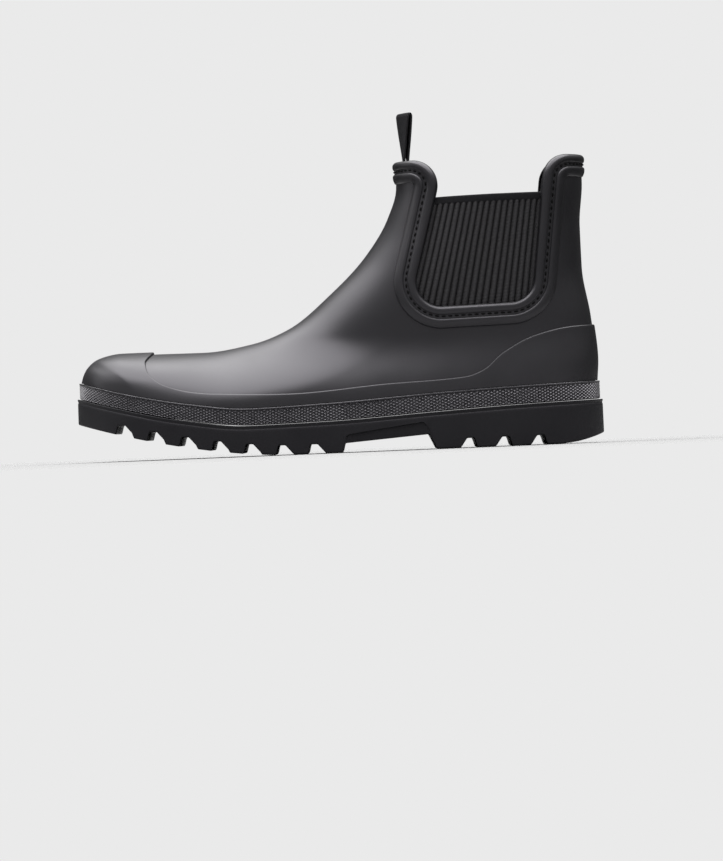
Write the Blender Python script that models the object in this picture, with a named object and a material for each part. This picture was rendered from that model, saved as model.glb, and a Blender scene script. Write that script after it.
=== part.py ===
"""Ankle-high rubber slip-on boot with elastic side gussets, for the left foot.

Sizes are in millimetres in the tables below and become metres in make_object.
X runs from toe (-X) to heel (+X), Y from the outer side (-Y) to the inner side (+Y), Z up from the floor.
Upper, rand overlay, foxing band, trim and gussets all read one function, half_width, which gives
the boot's half width at any place (x, z) of its side view.
"""

import bmesh
import bpy
import numpy as np

# Driving dimensions, millimetres
MM = 0.001
SEAT_GAP = 0.3
UPPER_WALL = 2.2
RAND_THICKNESS = 1.0
BAND_THICKNESS = 2.2
SOLE_LEDGE = 1.4
SOLE_LIP_HEIGHT = 2.0
SOLE_LIP_GROOVE = 0.7
SOLE_LIP_SLOPE = 0.6
SOLE_LIP_EASING = 0.3
INSOLE_THICKNESS = 4.0
INSOLE_CLEARANCE = 1.4
COLLAR_HEIGHT = 163.0
GUSSET_THICKNESS = 1.8
GUSSET_TOP = 142.0
GUSSET_BOTTOM = 71.0
GUSSET_SEWN_MARGIN = 8.0
RIM_SPARE = 4.0
TOE_X = -146.0
HEEL_X = 146.0
# Reach of the shapes that cut the opening and the tread, past the boot on all sides
CUT_HALF_DEPTH = 90.0
CUT_FRONT_X = -30.0
CUT_BACK_X = 210.0
CUT_ABOVE = 40.0

# Rounding of the form in the side view: how far in from each silhouette the full width is reached
FRONT_ROUND_LENGTH = 56.0
BACK_ROUND_LENGTH = 46.0
FRONT_HEIGHT_WEIGHT = 1.8
TOE_CORNER_Z = 55.0
TOE_BLEND_POWER = 3.0
ROUND_POWER = 2.05

# Toe, vamp and shaft front as seen from the side
FRONT_LINE = {
    "x": (-146, -146, -144.2, -136.5, -123, -105, -76, -48, -28, -3, 18, 31.5, 37, 37.2, 37.2),
    "z": (10, 44, 50.5, 57.6, 60.2, 60.2, 60, 63.8, 71, 90, 111, 132, 149, 158, 170),
}
# Heel back and shaft back as seen from the side
BACK_LINE = {
    "x": (146.0, 146.0, 147.0, 145.0, 141.0, 140.8, 143.0, 143.0, 143.0),
    "z": (8.0, 32.0, 48.0, 72.0, 100.0, 124.0, 149.0, 158.0, 170.0),
}
# Half widths of the foot under the ankle, from heel to toe
FOOT_WIDTHS = {
    "x": (146.0, 105.0, 60.0, 20.0, -20.0, -65.0, -110.0, -146.0),
    "outer": (36.0, 36.5, 39.5, 42.5, 45.5, 48.5, 47.0, 44.0),
    "inner": (36.0, 36.5, 37.0, 37.5, 42.0, 48.0, 46.0, 43.0),
}
# Half width of the shaft by height
SHAFT_WIDTHS = {
    "z": (30.0, 62.0, 78.0, 105.0, 135.0, 165.0),
    "half": (34.0, 32.2, 33.2, 35.6, 37.4, 38.5),
}
FOOT_TO_SHAFT = (28.0, 66.0)
FLARE_X = (-115.0, -45.0)
# Inward bend of the forefoot, as the shift of the middle line
FOREFOOT_SWING = {"x": (146.0, 20.0, -40.0, -100.0, -146.0), "shift": (0.0, 0.0, 2.0, 6.5, 11.5)}

# Heights along the sole, from toe to heel
SOLE_TOP = {
    "x": (-150.0, -125.0, -91.0, -52.0, -6.0, 57.0, 100.0, 150.0),
    "z": (36.3, 29.6, 22.0, 17.2, 17.9, 21.0, 23.0, 24.5),
}
BAND_TOP = {
    "x": (-150.0, -118.0, -84.0, -52.0, -6.0, 57.0, 100.0, 150.0),
    "z": (45.8, 37.2, 30.6, 26.9, 28.2, 31.8, 33.6, 35.0),
}
# Upper edge of the toe cap, side rand and heel counter, from the heel back to the top of the toe
RAND_LINE = {
    "x": (146.0, 132.0, 112.0, 93.0, 82.0, 72.0, 26.0, -28.0, -72.0, -97.0, -107.5, -109.0, -105.0),
    "z": (67.0, 66.2, 62.0, 52.5, 43.5, 40.0, 37.6, 34.2, 35.8, 40.8, 49.0, 54.6, 60.2),
}

RAND_TURN_X = -84.0
RAND_END_REACH = 7.0

# Tread
TOE_SPRING_START = -30.0
TOE_SPRING_RISE = 20.5
TOE_SPRING_POWER = 1.65
HEEL_BEVEL_START = 122.0
HEEL_BEVEL_RISE = 4.0
LUG_DEPTH = 5.3
NOTCH_TOP_WIDTH = 4.2
# Places of the notches between lugs, and how far their front and back walls run along the floor
NOTCHES = {
    "first_x": (-126.0, 71.0),
    "pitch": (18.1, 19.8),
    "count": (7, 3),
    "front_run": (1.2, 3.7),
    "back_run": (4.6, 1.5),
}
WAIST = {"x": (1.0, 2.5, 50.0, 54.5), "z": (-1.0, 5.2, 8.4, -1.0)}

# Edge of the opening in the side view: corner places and the radii that round them
OPENING_EDGE = {
    "x": (37.2, 63.0, 40.5, 112.0, 122.5, 143.0),
    "z": (163.0, 163.0, 79.0, 80.5, 163.0, 163.0),
    "radius": (0.0, 12.0, 15.0, 15.0, 12.0, 0.0),
}
# Section across the trim: inner bead, sewn groove, outer bead
TRIM_SECTION = {
    "across": (0.0, 0.7, 2.6, 3.4, 5.6, 6.6, 9.8),
    "height": (0.9, 1.6, 1.6, 0.7, 0.7, 1.5, 0.7),
}

# Pull loop at the front of the collar
LOOP_WIDTH = 18.0
LOOP_THICKNESS = 1.4
LOOP_TWIST = 0.40
LOOP_PATH = {
    "x": (42.2, 42.2, 42.2, 42.1, 42.3, 43.3, 44.3, 44.5, 44.3, 44.2, 44.2),
    "z": (140.0, 154.0, 163.0, 180.0, 189.6, 191.2, 189.6, 180.0, 163.0, 154.0, 140.0),
}

# Mesh density
RING_COLUMNS = 30
RAND_ROWS = 6
VAMP_ROWS = 15
BAND_ROWS = 1
SOLE_COLUMNS = 36
GUSSET_COLUMNS = 9
GUSSET_ROWS = 6
TRIM_STEP = 11.0
TRIM_ARC_STEPS = 6
TRIM_END_STEPS = 5
LOOP_STEPS = 44
LINE_SAMPLES = 160
SHARP_DEGREES = 40.0


def steady_slopes(knots, values):
    """Slopes at the knots that keep a cubic through the table from overshooting."""
    steps = np.diff(knots)
    rises = np.diff(values) / steps
    slopes = np.zeros(len(values))
    slopes[0], slopes[-1] = rises[0], rises[-1]
    for i in range(1, len(values) - 1):
        if rises[i - 1] * rises[i] > 0:
            before, after = 2 * steps[i] + steps[i - 1], steps[i] + 2 * steps[i - 1]
            slopes[i] = (before + after) / (before / rises[i - 1] + after / rises[i])
    return slopes


def smooth_table(knots, values, at):
    """Reads a table at any place along a smooth curve through its rows."""
    knots, values = np.asarray(knots, float), np.asarray(values, float)
    if knots[0] > knots[-1]:
        knots, values = knots[::-1], values[::-1]
    slopes = steady_slopes(knots, values)
    at = np.clip(at, knots[0], knots[-1])
    i = np.clip(np.searchsorted(knots, at) - 1, 0, len(knots) - 2)
    step = knots[i + 1] - knots[i]
    u = (at - knots[i]) / step
    start = values[i] * (1 + 2 * u) * (1 - u) ** 2 + slopes[i] * step * u * (1 - u) ** 2
    end = values[i + 1] * u * u * (3 - 2 * u) + slopes[i + 1] * step * u * u * (u - 1)
    return start + end


def smooth_line(table, samples=LINE_SAMPLES):
    """Points along a smooth curve through a table of x and z, evenly spaced along its length."""
    corners = np.column_stack([table["x"], table["z"]]).astype(float)
    along = np.concatenate([[0], np.cumsum(np.linalg.norm(np.diff(corners, axis=0), axis=1))])
    at = np.linspace(0, along[-1], samples)
    return np.column_stack([smooth_table(along, corners[:, k], at) for k in (0, 1)])


FRONT = smooth_line(FRONT_LINE)
BACK = smooth_line(BACK_LINE)


def height_at(table, x):
    return smooth_table(table["x"], table["z"], x)


def distance_to(line, x, z, height_weight):
    """Distance in the side view from places (x, z) to a line, with heights counted by a weight."""
    scale = np.array([1.0, height_weight])
    a, b = line[:-1] * scale, line[1:] * scale
    p = np.stack([np.ravel(x), np.ravel(z) * height_weight], axis=1)[:, None, :]
    run = b - a
    u = np.clip(np.sum((p - a) * run, axis=2) / np.sum(run * run, axis=1), 0, 1)
    nearest = a + u[..., None] * run
    return np.min(np.linalg.norm(p - nearest, axis=2), axis=1).reshape(np.shape(x))


def ease(share):
    """Smooth step from 0 to 1."""
    share = np.clip(share, 0, 1)
    return share * share * (3 - 2 * share)


def front_distance(x, z):
    """Distance to the front line, with the crease where the toe's front meets its top softened."""
    corner = np.argmax(FRONT[:, 1] > TOE_CORNER_Z)
    toe = distance_to(FRONT[: corner + 1], x, z, FRONT_HEIGHT_WEIGHT)
    top = distance_to(FRONT[corner:], x, z, FRONT_HEIGHT_WEIGHT)
    near, far = np.maximum(np.minimum(toe, top), 1e-9), np.maximum(toe, top)
    return near * (1 + (near / far) ** TOE_BLEND_POWER) ** (-1 / TOE_BLEND_POWER)


def round_over(share):
    """Width share from 0 at a silhouette to 1 where the form is at its full width."""
    inward = 1 - np.clip(share, 0, 1)
    return (1 - inward**ROUND_POWER) ** (1 / ROUND_POWER)


def half_width(x, z, side):
    """Half width of the boot's outer form at a place of the side view; side is outer or inner."""
    foot = smooth_table(FOOT_WIDTHS["x"], FOOT_WIDTHS[side], x)
    shaft = smooth_table(SHAFT_WIDTHS["z"], SHAFT_WIDTHS["half"], z)
    low, high = FOOT_TO_SHAFT
    toe_end, waist_end = FLARE_X
    rise = ease((z - low) / (high - low)) * ease((x - toe_end) / (waist_end - toe_end))
    full = foot + (shaft - foot) * rise
    front = round_over(front_distance(x, z) / FRONT_ROUND_LENGTH)
    back = round_over(distance_to(BACK, x, z, 1.0) / BACK_ROUND_LENGTH)
    return full * front * back


def middle(x):
    """Sideways shift of the boot's middle line."""
    return smooth_table(FOREFOOT_SWING["x"], FOREFOOT_SWING["shift"], x)


def side_point(x, z, side):
    """Places on the outer form, as an array of x, y, z."""
    sign = -1.0 if side == "outer" else 1.0
    return np.stack([x, middle(x) + sign * half_width(x, z, side), z], axis=-1)


def resample(points, shares):
    """Points at shares of a line's length."""
    along = np.concatenate([[0], np.cumsum(np.linalg.norm(np.diff(points, axis=0), axis=1))])
    at = np.asarray(shares) * along[-1]
    return np.column_stack([np.interp(at, along, points[:, k]) for k in (0, 1)])


def between(line, z_from, z_to):
    """The stretch of a rising line between two heights."""
    rising = np.maximum.accumulate(line[:, 1] + np.arange(len(line)) * 1e-6)
    dense = np.linspace(0, 1, 4 * len(line))
    points = resample(line, dense)
    inside = points[(points[:, 1] > z_from) & (points[:, 1] < z_to)]
    ends = [[np.interp(z, rising, line[:, 0]), z] for z in (z_from, z_to)]
    return np.vstack([ends[0], inside, ends[1]])


def front_until(x_end):
    """The stretch of the front line from the toe's foot to a place on top of the toe."""
    points = resample(FRONT, np.linspace(0, 1, 4 * len(FRONT)))
    start = float(height_at(BAND_TOP, TOE_X)) + SEAT_GAP
    last = np.argmax((points[:, 0] > x_end) & (points[:, 1] > start))
    chosen = points[: last + 1]
    return np.vstack([[TOE_X, start], chosen[chosen[:, 1] > start]])


def even_ends(count):
    """Shares from 0 to 1, close together at both ends where the form rounds over."""
    return (1 - np.cos(np.pi * np.arange(count + 1) / count)) / 2


def sample(line, shares):
    """Points at shares of the way through a line's list of points."""
    at = np.asarray(shares) * (len(line) - 1)
    return np.column_stack([np.interp(at, np.arange(len(line)), line[:, k]) for k in (0, 1)])


def side_grid(bottom, top, back, front, rows, end_reach=1.0):
    """Side-view grid that fills four border lines; bottom and top run from back to front.

    The bends of the back and front lines fade out along the rows, faster with a higher end_reach.
    """
    s, t = even_ends(RING_COLUMNS)[None, :, None], np.linspace(0, 1, rows + 1)[:, None, None]
    low, high = sample(bottom, s.ravel())[None], sample(top, s.ravel())[None]
    left, right = resample(back, t.ravel())[:, None], resample(front, t.ravel())[:, None]
    left_bend = left - (1 - t) * low[:, :1] - t * high[:, :1]
    right_bend = right - (1 - t) * low[:, -1:] - t * high[:, -1:]
    return (1 - t) * low + t * high + (1 - s) ** end_reach * left_bend + s**end_reach * right_bend


def sole_line(table, lift=0.0):
    """A height table of the sole as a line from heel to toe."""
    x = np.linspace(HEEL_X, TOE_X, LINE_SAMPLES)
    return np.column_stack([x, height_at(table, x) + lift])


def ring_surface(grid):
    """Closed rings round the boot: along the outer side to the front, back along the inner side."""
    outer = side_point(grid[..., 0], grid[..., 1], "outer")
    inner = side_point(grid[..., 0], grid[..., 1], "inner")
    return np.concatenate([outer, inner[:, -2:0:-1]], axis=1)


def ring_normals(surface):
    """Outward directions at each point of closed rings."""
    around = np.roll(surface, -1, axis=1) - np.roll(surface, 1, axis=1)
    normals = np.cross(np.gradient(surface, axis=0), around)
    normals /= np.maximum(np.linalg.norm(normals, axis=2, keepdims=True), 1e-9)
    return normals


def sheet_normals(surface, side):
    """Outward directions at each point of an open sheet on one side of the boot."""
    normals = np.cross(np.gradient(surface, axis=1), np.gradient(surface, axis=0))
    normals /= np.maximum(np.linalg.norm(normals, axis=2, keepdims=True), 1e-9)
    outward = -1.0 if side == "outer" else 1.0
    return normals * np.sign(normals[..., 1:2] * outward + 1e-12)


def grid_faces(rows, columns, closed, start=0):
    """Quads of a grid of points, with the last column joined to the first in a closed one."""
    faces = []
    for r in range(rows - 1):
        for c in range(columns if closed else columns - 1):
            after = (c + 1) % columns
            low, high = start + r * columns, start + (r + 1) * columns
            faces.append([low + c, low + after, high + after, high + c])
    return faces


def closed_ring_solid(outside, inside):
    """A ring-shaped solid from its outer and inner surfaces, joined along both rims."""
    rows, columns = outside.shape[:2]
    points = np.concatenate([outside.reshape(-1, 3), inside.reshape(-1, 3)])
    half = rows * columns
    faces = grid_faces(rows, columns, True)
    faces += [face[::-1] for face in grid_faces(rows, columns, True, half)]
    for row, flip in ((0, True), (rows - 1, False)):
        for c in range(columns):
            a, b = row * columns + c, row * columns + (c + 1) % columns
            rim = [a, b, half + b, half + a]
            faces.append(rim[::-1] if flip else rim)
    return points, faces


def sheet_solid(outside, inside):
    """A curved plate from its two faces, closed round its border."""
    rows, columns = outside.shape[:2]
    points = np.concatenate([outside.reshape(-1, 3), inside.reshape(-1, 3)])
    half = rows * columns
    faces = grid_faces(rows, columns, False)
    faces += [face[::-1] for face in grid_faces(rows, columns, False, half)]
    border = [c for c in range(columns)] + [r * columns + columns - 1 for r in range(1, rows)]
    border += [(rows - 1) * columns + c for c in range(columns - 2, -1, -1)]
    border += [r * columns for r in range(rows - 2, 0, -1)]
    for a, b in zip(border, border[1:] + border[:1]):
        faces.append([b, a, half + a, half + b])
    return points, faces


def shell_between(grid, low, high, seat, level_rows):
    """A ring-shaped solid between two offsets from the boot's form.

    Its lowest rows go straight out, and keep their height above the seat, a height table, as they do.
    """
    surface = ring_surface(grid)
    normals = ring_normals(surface)
    normals[:level_rows, :, 2] = 0.0
    normals /= np.linalg.norm(normals, axis=2, keepdims=True)
    faces = []
    for offset in (high, low):
        moved = surface + normals * offset
        rise = height_at(seat, moved[..., 0]) - height_at(seat, surface[..., 0])
        moved[:level_rows, :, 2] += rise[:level_rows]
        faces.append(moved)
    return closed_ring_solid(*faces)


def sole_outline(offset):
    """Closed outline of the sole, moved out by an offset from the foot of the upper."""
    x = HEEL_X + (TOE_X - HEEL_X) * even_ends(SOLE_COLUMNS)
    grid = np.column_stack([x, height_at(SOLE_TOP, x)])[None]
    ring = ring_surface(np.repeat(grid, 2, axis=0))[0]
    ahead = np.roll(ring, -1, axis=0) - np.roll(ring, 1, axis=0)
    outward = np.column_stack([ahead[:, 1], -ahead[:, 0], np.zeros(len(ring))])
    outward /= np.linalg.norm(outward, axis=1, keepdims=True)
    if outward[0, 0] < 0:
        outward = -outward
    return ring + outward * offset


def tread_height(x):
    """Height of the uncut tread: toe spring in front, a small bevel at the heel's back."""
    toe = np.clip((TOE_SPRING_START - x) / (TOE_SPRING_START - TOE_X), 0, None)
    heel = np.clip((x - HEEL_BEVEL_START) / (HEEL_X - HEEL_BEVEL_START), 0, None)
    return TOE_SPRING_RISE * toe**TOE_SPRING_POWER + HEEL_BEVEL_RISE * heel**2


def make_object(name, points, faces, material, shift=(0.0, 0.0, 0.0)):
    """A named mesh object in metres with its faces pointing out."""
    mesh = bpy.data.meshes.new(name)
    mesh.from_pydata(((np.asarray(points) + np.asarray(shift)) * MM).tolist(), [], faces)
    work = bmesh.new()
    work.from_mesh(mesh)
    bmesh.ops.recalc_face_normals(work, faces=work.faces)
    work.to_mesh(mesh)
    work.free()
    mesh.shade_smooth()
    mesh.set_sharp_from_angle(angle=np.radians(SHARP_DEGREES))
    made = bpy.data.objects.new(name, mesh)
    bpy.context.scene.collection.objects.link(made)
    if material:
        mesh.materials.append(material)
    return made


def make_material(name, colour, roughness):
    material = bpy.data.materials.new(name)
    material.use_nodes = True
    shader = material.node_tree.nodes["Principled BSDF"]
    shader.inputs["Base Color"].default_value = (*colour, 1.0)
    shader.inputs["Roughness"].default_value = roughness
    shader.inputs["Metallic"].default_value = 0.0
    return material


def cut_with(target, cutter):
    """Cuts one solid by another with a Boolean modifier, and leaves the cutter as a hidden guide."""
    cutter.hide_render = True
    cutter.display_type = "WIRE"
    cut = target.modifiers.new("cut_" + cutter.name, "BOOLEAN")
    cut.operation = "DIFFERENCE"
    cut.object = cutter


def prism(outline, half_depth):
    """Points and faces of a side-view outline carried across the boot."""
    count = len(outline)
    points = [(x, y, z) for y in (-half_depth, half_depth) for x, z in outline]
    faces = [list(range(count)), list(range(2 * count - 1, count - 1, -1))]
    faces += [[i, (i + 1) % count, count + (i + 1) % count, count + i] for i in range(count)]
    return points, faces


def rounded_edge():
    """The opening's edge in the side view, with its corners rounded."""
    corners = np.column_stack([OPENING_EDGE["x"], OPENING_EDGE["z"]])
    points = [corners[0]]
    for i in range(1, len(corners) - 1):
        before, corner, after = corners[i - 1 : i + 2]
        back = (before - corner) / np.linalg.norm(before - corner)
        on = (after - corner) / np.linalg.norm(after - corner)
        half_angle = np.arccos(np.clip(back @ on, -1, 1)) / 2
        radius = OPENING_EDGE["radius"][i]
        centre = corner + (back + on) / np.linalg.norm(back + on) * radius / np.sin(half_angle)
        reach = radius / np.tan(half_angle)
        start, end = corner + back * reach - centre, corner + on * reach - centre
        turn = np.arctan2(start[0] * end[1] - start[1] * end[0], start @ end)
        for angle in np.linspace(0, turn, TRIM_ARC_STEPS):
            c, s = np.cos(angle), np.sin(angle)
            points.append(centre + np.array([c * start[0] - s * start[1], s * start[0] + c * start[1]]))
    return np.array(points + [corners[-1]])


def rand_edge_line():
    """The rand's upper edge, with its points spread so that they stand above those of the sole."""
    line = smooth_line(RAND_LINE)
    along = np.linspace(0, 1, LINE_SAMPLES)
    turn = along[np.argmax(line[:, 0] < RAND_TURN_X)]
    turn_share = (HEEL_X - RAND_TURN_X) / (HEEL_X - TOE_X)
    return resample(line, np.interp(along, (0, turn_share, 1), (0, turn, 1)))


def form_patches():
    """Side-view grids of the upper's three stretches: behind the band, behind the rand, and above it."""
    foot, band_edge = sole_line(SOLE_TOP, SEAT_GAP), sole_line(BAND_TOP, SEAT_GAP)
    rand_edge = rand_edge_line()
    toe = front_until(rand_edge[-1, 0])
    rim = COLLAR_HEIGHT + RIM_SPARE
    heel_back = between(BACK, band_edge[0, 1], rand_edge[0, 1])
    rand_edge[0], rand_edge[-1] = heel_back[-1], toe[-1]
    collar = np.linspace((BACK[-1, 0], rim), (FRONT[-1, 0], rim), LINE_SAMPLES)
    low_back = between(BACK, foot[0, 1], band_edge[0, 1])
    low_front = between(FRONT, foot[-1, 1], band_edge[-1, 1])
    vamp = np.vstack([toe[-1], FRONT[(FRONT[:, 0] > toe[-1, 0]) & (FRONT[:, 1] < rim)], collar[-1]])
    return (
        side_grid(foot, band_edge, low_back, low_front, BAND_ROWS),
        side_grid(band_edge, rand_edge, heel_back, toe, RAND_ROWS, RAND_END_REACH),
        side_grid(rand_edge, collar, between(BACK, rand_edge[0, 1], rim), vamp, VAMP_ROWS),
    )


def build_upper(patches, material, shift):
    """Hollow rubber upper, open at the collar, at both gussets and underneath."""
    grid = np.vstack([patches[0], patches[1][1:], patches[2][1:]])
    surface = ring_surface(grid)
    inside = surface - ring_normals(surface) * UPPER_WALL
    inside[0, :, 2] = surface[0, :, 2]
    upper = make_object("upper", *closed_ring_solid(surface, inside), material, shift)
    above = COLLAR_HEIGHT + CUT_ABOVE
    past_back = [[CUT_BACK_X, COLLAR_HEIGHT], [CUT_BACK_X, above]]
    past_front = [[CUT_FRONT_X, above], [CUT_FRONT_X, COLLAR_HEIGHT]]
    outline = np.vstack([rounded_edge(), past_back, past_front])
    cut_with(upper, make_object("opening_cutter", *prism(outline, CUT_HALF_DEPTH), None, shift))
    return upper


def build_rand(patches, material, shift):
    """Toe cap, side rand and heel counter: one raised layer over the upper's lower part."""
    solid = shell_between(patches[1], SEAT_GAP, SEAT_GAP + RAND_THICKNESS, BAND_TOP, 1)
    return make_object("toe_cap_rand", *solid, material, shift)


def build_band(patches, material, shift):
    """Foxing band that wraps the foot of the upper just above the outsole."""
    grid = patches[0].copy()
    grid[-1, :, 1] -= SEAT_GAP
    solid = shell_between(grid, SEAT_GAP, SEAT_GAP + BAND_THICKNESS, SOLE_TOP, BAND_ROWS + 1)
    return make_object("foxing_band", *solid, material, shift)


def tread_cutter_outlines():
    """Side-view outlines of the notches between lugs, and of the raised waist."""
    outlines = [np.column_stack([WAIST["x"], WAIST["z"]])]
    for first, pitch, count, front_run, back_run in zip(*NOTCHES.values()):
        for x in first + pitch * np.arange(count):
            base = float(tread_height(x))
            end = x + NOTCH_TOP_WIDTH
            across = (x - front_run, x, end, end + back_run)
            level = (base, base + LUG_DEPTH, base + LUG_DEPTH, base)
            below = base - LUG_DEPTH
            outlines.append(np.array(list(zip(across, level)) + [(across[3], below), (across[0], below)]))
    return outlines


def slab(rings):
    """A solid from outline rings stacked from below to above, closed by strips across its two ends."""
    columns = len(rings[0])
    faces = grid_faces(len(rings), columns, True)
    for start in (0, (len(rings) - 1) * columns):
        for i in range(columns // 2):
            strip = dict.fromkeys((i, i + 1, columns - i - 1, (columns - i) % columns))
            faces.append([start + k for k in strip])
    return np.concatenate(rings), faces


def build_outsole(material, shift):
    """Lugged outsole with toe spring, raised waist and heel, and a lip along its upper edge."""
    offset = SEAT_GAP + BAND_THICKNESS + SOLE_LEDGE
    tread = sole_outline(offset)
    tread[:, 2] = tread_height(tread[:, 0])
    rings = [tread]
    lip_steps = {
        "step_in": (0.0, SOLE_LIP_GROOVE, 0.0, SOLE_LIP_EASING),
        "drop": (2 * SOLE_LIP_HEIGHT, SOLE_LIP_HEIGHT, SOLE_LIP_HEIGHT - SOLE_LIP_SLOPE, 0.0),
    }
    for step_in, drop in zip(*lip_steps.values()):
        ring = sole_outline(offset - step_in)
        ring[:, 2] = height_at(SOLE_TOP, ring[:, 0]) - drop
        rings.append(ring)
    sole = make_object("outsole", *slab(rings), material, shift)
    for i, outline in enumerate(tread_cutter_outlines()):
        cut_with(sole, make_object(f"tread_cutter_{i}", *prism(outline, CUT_HALF_DEPTH), None, shift))
    return sole


def build_insole(material, shift):
    """Flat inner sole inside the foot of the upper."""
    ring = sole_outline(-(UPPER_WALL + INSOLE_CLEARANCE))
    low, high = ring.copy(), ring.copy()
    low[:, 2] = height_at(SOLE_TOP, ring[:, 0]) + SEAT_GAP
    high[:, 2] = low[:, 2] + INSOLE_THICKNESS
    return make_object("insole", *slab([low, high]), material, shift)


def build_gusset(side, material, shift):
    """Elastic panel sewn behind the opening's edge on one side."""
    t = np.linspace(0, 1, GUSSET_ROWS + 1)[:, None]
    s = np.linspace(0, 1, GUSSET_COLUMNS + 1)[None, :]
    z = GUSSET_BOTTOM + (GUSSET_TOP - GUSSET_BOTTOM) * t + 0 * s
    edge_x, edge_z = OPENING_EDGE["x"], OPENING_EDGE["z"]
    front_x = np.interp(z, (edge_z[2], edge_z[1]), (edge_x[2], edge_x[1])) - GUSSET_SEWN_MARGIN
    back_x = np.interp(z, (edge_z[3], edge_z[4]), (edge_x[3], edge_x[4])) + GUSSET_SEWN_MARGIN
    surface = side_point(front_x + (back_x - front_x) * s, z, side)
    normals = sheet_normals(surface, side)
    outside = surface - normals * (UPPER_WALL + SEAT_GAP)
    inside = outside - normals * GUSSET_THICKNESS
    return make_object("gusset_" + side, *sheet_solid(outside, inside), material, shift)


def trim_path():
    """Places along the opening's edge and the side-view directions across the trim, front to back."""
    edge = rounded_edge()
    parts = []
    for a, b in zip(edge[:-1], edge[1:]):
        length = np.linalg.norm(b - a)
        count = max(1, int(np.ceil(length / TRIM_STEP)))
        at_front, at_back = a[0] == edge[0, 0], b[0] == edge[-1, 0]
        shares = np.arange(count) / count
        end_shares = np.arange(TRIM_END_STEPS) / TRIM_END_STEPS
        if at_front:
            shares = end_shares**2
        elif at_back:
            shares = 1 - (1 - end_shares) ** 2
        parts.append(a + (b - a) * shares[:, None])
    path = np.vstack(parts + [edge[-1:]])
    ahead = np.gradient(path, axis=0)
    ahead /= np.linalg.norm(ahead, axis=1, keepdims=True)
    across = np.column_stack([ahead[:, 1], -ahead[:, 0]])
    across[0] = across[-1] = (0.0, -1.0)
    return path, across


def build_trim(material, shift):
    """Double bead with a sewn groove that runs round the collar and both gussets as one closed band."""
    path, across = trim_path()
    reach = np.asarray(TRIM_SECTION["across"])[:, None, None]
    places = path[None] + across[None] * reach
    surface = ring_surface(places[::-1, ::-1])
    normals = ring_normals(surface)
    height = np.asarray(TRIM_SECTION["height"])[::-1, None, None]
    outside, inside = surface + normals * height, surface + normals * SEAT_GAP
    return make_object("collar_trim", *closed_ring_solid(outside, inside), material, shift)


def build_pull_loop(material, shift):
    """Webbing loop sewn inside the front of the collar, a little twisted above it."""
    path = smooth_line(LOOP_PATH, LOOP_STEPS)
    ahead = np.gradient(path, axis=0)
    ahead /= np.linalg.norm(ahead, axis=1, keepdims=True)
    outward = np.column_stack([-ahead[:, 1], ahead[:, 0]])
    rise = np.clip((path[:, 1] - COLLAR_HEIGHT) / (max(LOOP_PATH["z"]) - COLLAR_HEIGHT), 0, 1)
    axis_x = np.mean(LOOP_PATH["x"])
    corners = []
    for thick, wide in ((-1, -1), (1, -1), (1, 1), (-1, 1)):
        flat = path + outward * (LOOP_THICKNESS / 2 * thick)
        y = np.full(len(path), LOOP_WIDTH / 2 * wide)
        angle = LOOP_TWIST * rise
        x = axis_x + (flat[:, 0] - axis_x) * np.cos(angle) - y * np.sin(angle)
        y = (flat[:, 0] - axis_x) * np.sin(angle) + y * np.cos(angle)
        corners.append(np.column_stack([x, y, flat[:, 1]]))
    rings = np.stack(corners, axis=1)
    faces = grid_faces(len(path), 4, True)
    faces += [[3, 2, 1, 0], [4 * (len(path) - 1) + k for k in range(4)]]
    return make_object("pull_loop", rings.reshape(-1, 3), faces, material, shift)


def base_shift():
    """Moves the boot so that its origin is under the middle of the sole's outline."""
    outline = sole_outline(SEAT_GAP + BAND_THICKNESS + SOLE_LEDGE)
    low, high = outline.min(axis=0), outline.max(axis=0)
    return np.array([-(low[0] + high[0]) / 2, -(low[1] + high[1]) / 2, 0.0])


def main():
    for old in list(bpy.data.objects):
        bpy.data.objects.remove(old)
    rubber = make_material("upper_rubber", (0.018, 0.018, 0.020), 0.45)
    sole_rubber = make_material("sole_rubber", (0.014, 0.014, 0.015), 0.6)
    elastic = make_material("elastic", (0.012, 0.012, 0.013), 0.9)
    webbing = make_material("webbing", (0.010, 0.010, 0.011), 0.9)
    lining = make_material("insole_cloth", (0.02, 0.02, 0.021), 0.95)
    shift = base_shift()
    build_outsole(sole_rubber, shift)
    patches = form_patches()
    build_band(patches, sole_rubber, shift)
    build_upper(patches, rubber, shift)
    build_rand(patches, rubber, shift)
    build_insole(lining, shift)
    for side in ("outer", "inner"):
        build_gusset(side, elastic, shift)
    build_trim(rubber, shift)
    build_pull_loop(webbing, shift)


main()
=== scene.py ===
import math

import bmesh
import bpy
import numpy as np
from mathutils import Matrix, Vector


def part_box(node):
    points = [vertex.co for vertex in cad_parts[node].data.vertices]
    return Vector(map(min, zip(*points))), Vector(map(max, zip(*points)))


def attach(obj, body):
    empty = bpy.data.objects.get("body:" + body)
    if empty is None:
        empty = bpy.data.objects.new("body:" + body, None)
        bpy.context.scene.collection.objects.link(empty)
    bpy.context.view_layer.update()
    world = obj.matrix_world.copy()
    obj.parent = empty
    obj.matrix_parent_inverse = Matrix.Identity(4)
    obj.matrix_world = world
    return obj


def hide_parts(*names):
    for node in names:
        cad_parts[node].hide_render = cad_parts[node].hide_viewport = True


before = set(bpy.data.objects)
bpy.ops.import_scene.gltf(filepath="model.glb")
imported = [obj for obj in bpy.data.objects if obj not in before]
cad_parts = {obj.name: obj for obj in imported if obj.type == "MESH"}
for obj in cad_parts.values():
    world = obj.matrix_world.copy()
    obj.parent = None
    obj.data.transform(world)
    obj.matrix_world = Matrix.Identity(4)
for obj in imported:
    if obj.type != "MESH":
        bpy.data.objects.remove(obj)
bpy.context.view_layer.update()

# Sizes are in millimetres in the boot's own frame: X from toe to heel, Y from outer to inner side, Z up.
MM = 0.001
SEAT_GAP = 0.3
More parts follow.
